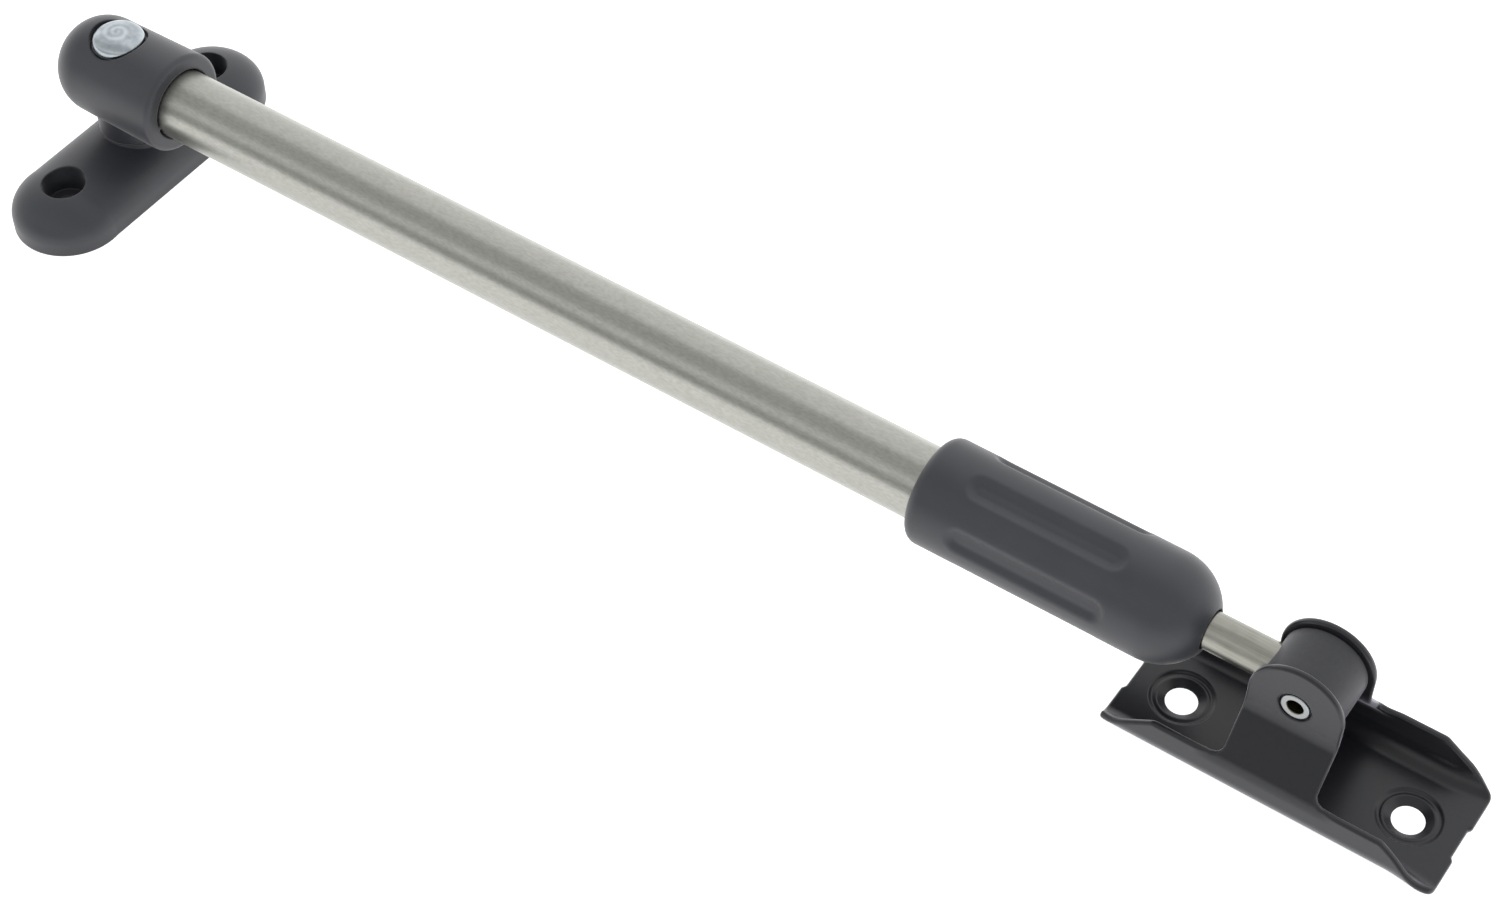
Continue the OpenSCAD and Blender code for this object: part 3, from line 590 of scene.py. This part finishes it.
GRIP_X0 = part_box("grip")[0].x / MM
GRIP_X1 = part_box("grip")[1].x / MM
GRIP_AXIS = (0, 0, AXIS_Z / MM)
TUBE_HOLE_R = 8.08                # bore that takes the tube
CLAMP_ROOM_R = 6.0                # bore that takes the rod's wiper
ROD_HOLE_R = 4.3                  # bore round the rod in the nose
SHOULDER_GAP = 0.05               # between the clamp ring and the shoulder in front of it
MOUTH_ROUND = 2.6                 # rounding of the outer edge at the tube's end
MOUTH_CHAMFER = 0.25              # chamfer of the bore there
GRIP_R = 11.6
GRIP_TAPER = 0.1                  # how much thinner the handle is at its nose
NOSE_X = 52.3                     # where the nose starts, from the grip's tube end
NOSE_L = 12                       # length that the nose's curve would have to its tip
NOSE_TURN = 65                    # part of that curve, in degrees, that the nose uses
NOSE_LIP = (0.3, 0.35)            # rounding of the nose's hole, across and along
BODY_STEPS = 124                  # rings along the handle, close enough for the flutes' edges
GRIP_TURNS = 216                  # and points round it
SKIN_R = 11                       # what lies further out than this is the outer skin
FLUTES = 6
FLUTE_TURN = math.radians(47)     # the first flute's place about the tube, up from the side
FLUTE_X = (10.0, 45.5)            # a flute's ends, from the grip's tube end
FLUTE_HALF_W = 2.9
FLUTE_FLOOR = 0.9                 # half width of a flute's even floor
FLUTE_FADE = 0.35                 # how far its soft edge reaches past its half width
FLUTE_DEPTH = 1.15


def fluted(v):
    """Presses the flutes into a point of the handle's outer skin."""
    place = v.co - Vector(GRIP_AXIS)
    reach = math.hypot(place.y, place.z)
    pitch = 2 * math.pi / FLUTES
    turn = (math.atan2(place.z, place.y) - FLUTE_TURN + pitch / 2) % pitch - pitch / 2
    x = place.x - GRIP_X0
    past = max(FLUTE_X[0] + FLUTE_HALF_W - x, x - FLUTE_X[1] + FLUTE_HALF_W, 0)
    away = math.hypot(past, reach * turn)
    depth = FLUTE_DEPTH * (1 - eased(away, FLUTE_FLOOR, FLUTE_HALF_W + FLUTE_FADE))
    v.co.y -= depth * place.y / reach
    v.co.z -= depth * place.z / reach


def fluted_grip():
    wiper_x1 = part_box("rod_wiper")[1].x / MM
    shoulder_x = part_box("clamp_ring")[1].x / MM + SHOULDER_GAP
    body_x = GRIP_X0 + MOUTH_ROUND
    body_l = NOSE_X - MOUTH_ROUND
    skin = (arc((GRIP_R - MOUTH_ROUND, body_x), (MOUTH_ROUND, MOUTH_ROUND), -90, 0, 8)
            + [Vector((GRIP_R - GRIP_TAPER * i / BODY_STEPS, body_x + body_l * i / BODY_STEPS))
               for i in range(1, BODY_STEPS)]
            + arc((0, GRIP_X0 + NOSE_X), (GRIP_R - GRIP_TAPER, NOSE_L), 0, NOSE_TURN, 22))
    profile = ([Vector(p) for p in ((CLAMP_ROOM_R, shoulder_x), (TUBE_HOLE_R, shoulder_x),
                                    (TUBE_HOLE_R, GRIP_X0 + MOUTH_CHAMFER),
                                    (TUBE_HOLE_R + MOUTH_CHAMFER, GRIP_X0))]
               + skin
               + arc((ROD_HOLE_R + NOSE_LIP[0], GRIP_X1 - NOSE_LIP[1]), NOSE_LIP, 60, 180, 5)
               + [Vector(p) for p in ((ROD_HOLE_R, wiper_x1), (CLAMP_ROOM_R, wiper_x1),
                                      (CLAMP_ROOM_R, shoulder_x))])
    bm = bmesh.new()
    turned(bm, [(p.y, 0, p.x + AXIS_Z / MM) for p in profile], GRIP_AXIS, (1, 0, 0),
           2 * math.pi, GRIP_TURNS)
    welded(bm)
    for v in bm.verts:
        if math.hypot(v.co.y, v.co.z - AXIS_Z / MM) > SKIN_R:
            fluted(v)
    finished(bm, "grip", "grip", nylon_slate)


# Pivot rivet: a turned shank with a flanged tail and a domed, spun head

HEAD_R = 5.95
HEAD_EDGE_H = 0.5                 # height of the head's upright edge
HEAD_CURVE = 0.77                 # below 1 the dome is fuller than an ellipse
SHANK_R = 3.5
TAIL_R = 5.1
TAIL_CHAMFER = 0.8
DOME_STEPS = 24
RIVET_TURNS = 96                  # points round the rivet


def spun_rivet():
    low, high = (corner.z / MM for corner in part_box("pivot_rivet"))
    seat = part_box("head_washer")[1].z / MM
    tail_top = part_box("tail_washer")[0].z / MM
    rise = high - seat - HEAD_EDGE_H
    turns = [math.pi / 2 * i / DOME_STEPS for i in range(DOME_STEPS + 1)]
    dome = [(HEAD_R * max(math.cos(a), 0) ** HEAD_CURVE,
             seat + HEAD_EDGE_H + rise * math.sin(a) ** HEAD_CURVE) for a in turns]
    profile = [(0, low), (TAIL_R - TAIL_CHAMFER, low), (TAIL_R, low + TAIL_CHAMFER),
               (TAIL_R, tail_top), (SHANK_R, tail_top), (SHANK_R, seat), (HEAD_R, seat)]
    bm = bmesh.new()
    turned(bm, [(r, 0, z) for r, z in profile + dome], (0, 0, 0), (0, 0, 1), 2 * math.pi,
           RIVET_TURNS)
    welded(bm)
    finished(bm, "pivot_rivet", "plate", head_zinc)


fluted_grip()
bent_bracket()
long_barrel()
outer_washers()
spun_rivet()


# Studio

# How bright the surroundings are along the arch over the stay: degrees up from the side behind
# it, and grey. The darker bands draw the dark stripes that run along the tube and the rod.
SKY = [(0, 0.95), (38, 0.95), (46, 0.86), (66, 0.86), (74, 0.9), (86, 0.5), (125, 0.5),
       (137, 0.8), (150, 0.8), (159, 0.4), (180, 0.4)]
SKY_STRENGTH = 1.35
FLOOR_SIZE = 6.0
FLOOR_GREY = 0.8
FLOOR_GLOW = 0.85                 # only for what the camera and reflections see of the floor


def studio():
    world = bpy.data.worlds.new("studio")
    bpy.context.scene.world = world
    world.use_nodes = True
    tree = world.node_tree
    tree.nodes.clear()
    towards = add(tree, "TexCoord").outputs["Generated"]
    parts = add(tree, "SeparateXYZ", links={"Vector": towards})
    angle = add(tree, "Math", links={0: parts.outputs["Z"], 1: parts.outputs["Y"]},
                operation="ARCTAN2")
    share = add(tree, "Math", {1: math.pi}, {0: angle.outputs[0]}, operation="DIVIDE")
    bands = ramp(tree, share.outputs[0], [(a / 180, (g, g, g, 1.0)) for a, g in SKY])
    lit = add(tree, "Background", {"Strength": SKY_STRENGTH}, {"Color": bands})
    white = add(tree, "Background", {"Color": (1, 1, 1, 1), "Strength": 1.0})
    rays = add(tree, "LightPath")
    mix = add(tree, "MixShader", links={"Fac": rays.outputs["Is Camera Ray"],
                                        1: lit.outputs[0], 2: white.outputs[0]})
    add(tree, "OutputWorld", links={"Surface": mix.outputs[0]})

    bpy.ops.mesh.primitive_plane_add(size=FLOOR_SIZE)
    floor = bpy.context.object
    floor.name = "floor"
    material = bpy.data.materials.new("studio_floor")
    material.use_nodes = True
    tree = material.node_tree
    tree.nodes.clear()
    cloth = add(tree, "BsdfDiffuse", {"Color": (FLOOR_GREY, FLOOR_GREY, FLOOR_GREY, 1.0)})
    glow = add(tree, "Emission", {"Color": (1, 1, 1, 1), "Strength": FLOOR_GLOW})
    both = add(tree, "AddShader", links={0: cloth.outputs[0], 1: glow.outputs[0]})
    rays = add(tree, "LightPath")
    seen = add(tree, "Math", links={0: rays.outputs["Is Camera Ray"],
                                    1: rays.outputs["Is Glossy Ray"]}, operation="MAXIMUM")
    mix = add(tree, "MixShader", links={"Fac": seen.outputs[0],
                                        1: cloth.outputs[0], 2: both.outputs[0]})
    add(tree, "OutputMaterial", links={"Surface": mix.outputs[0]})
    floor.data.materials.append(material)


studio()
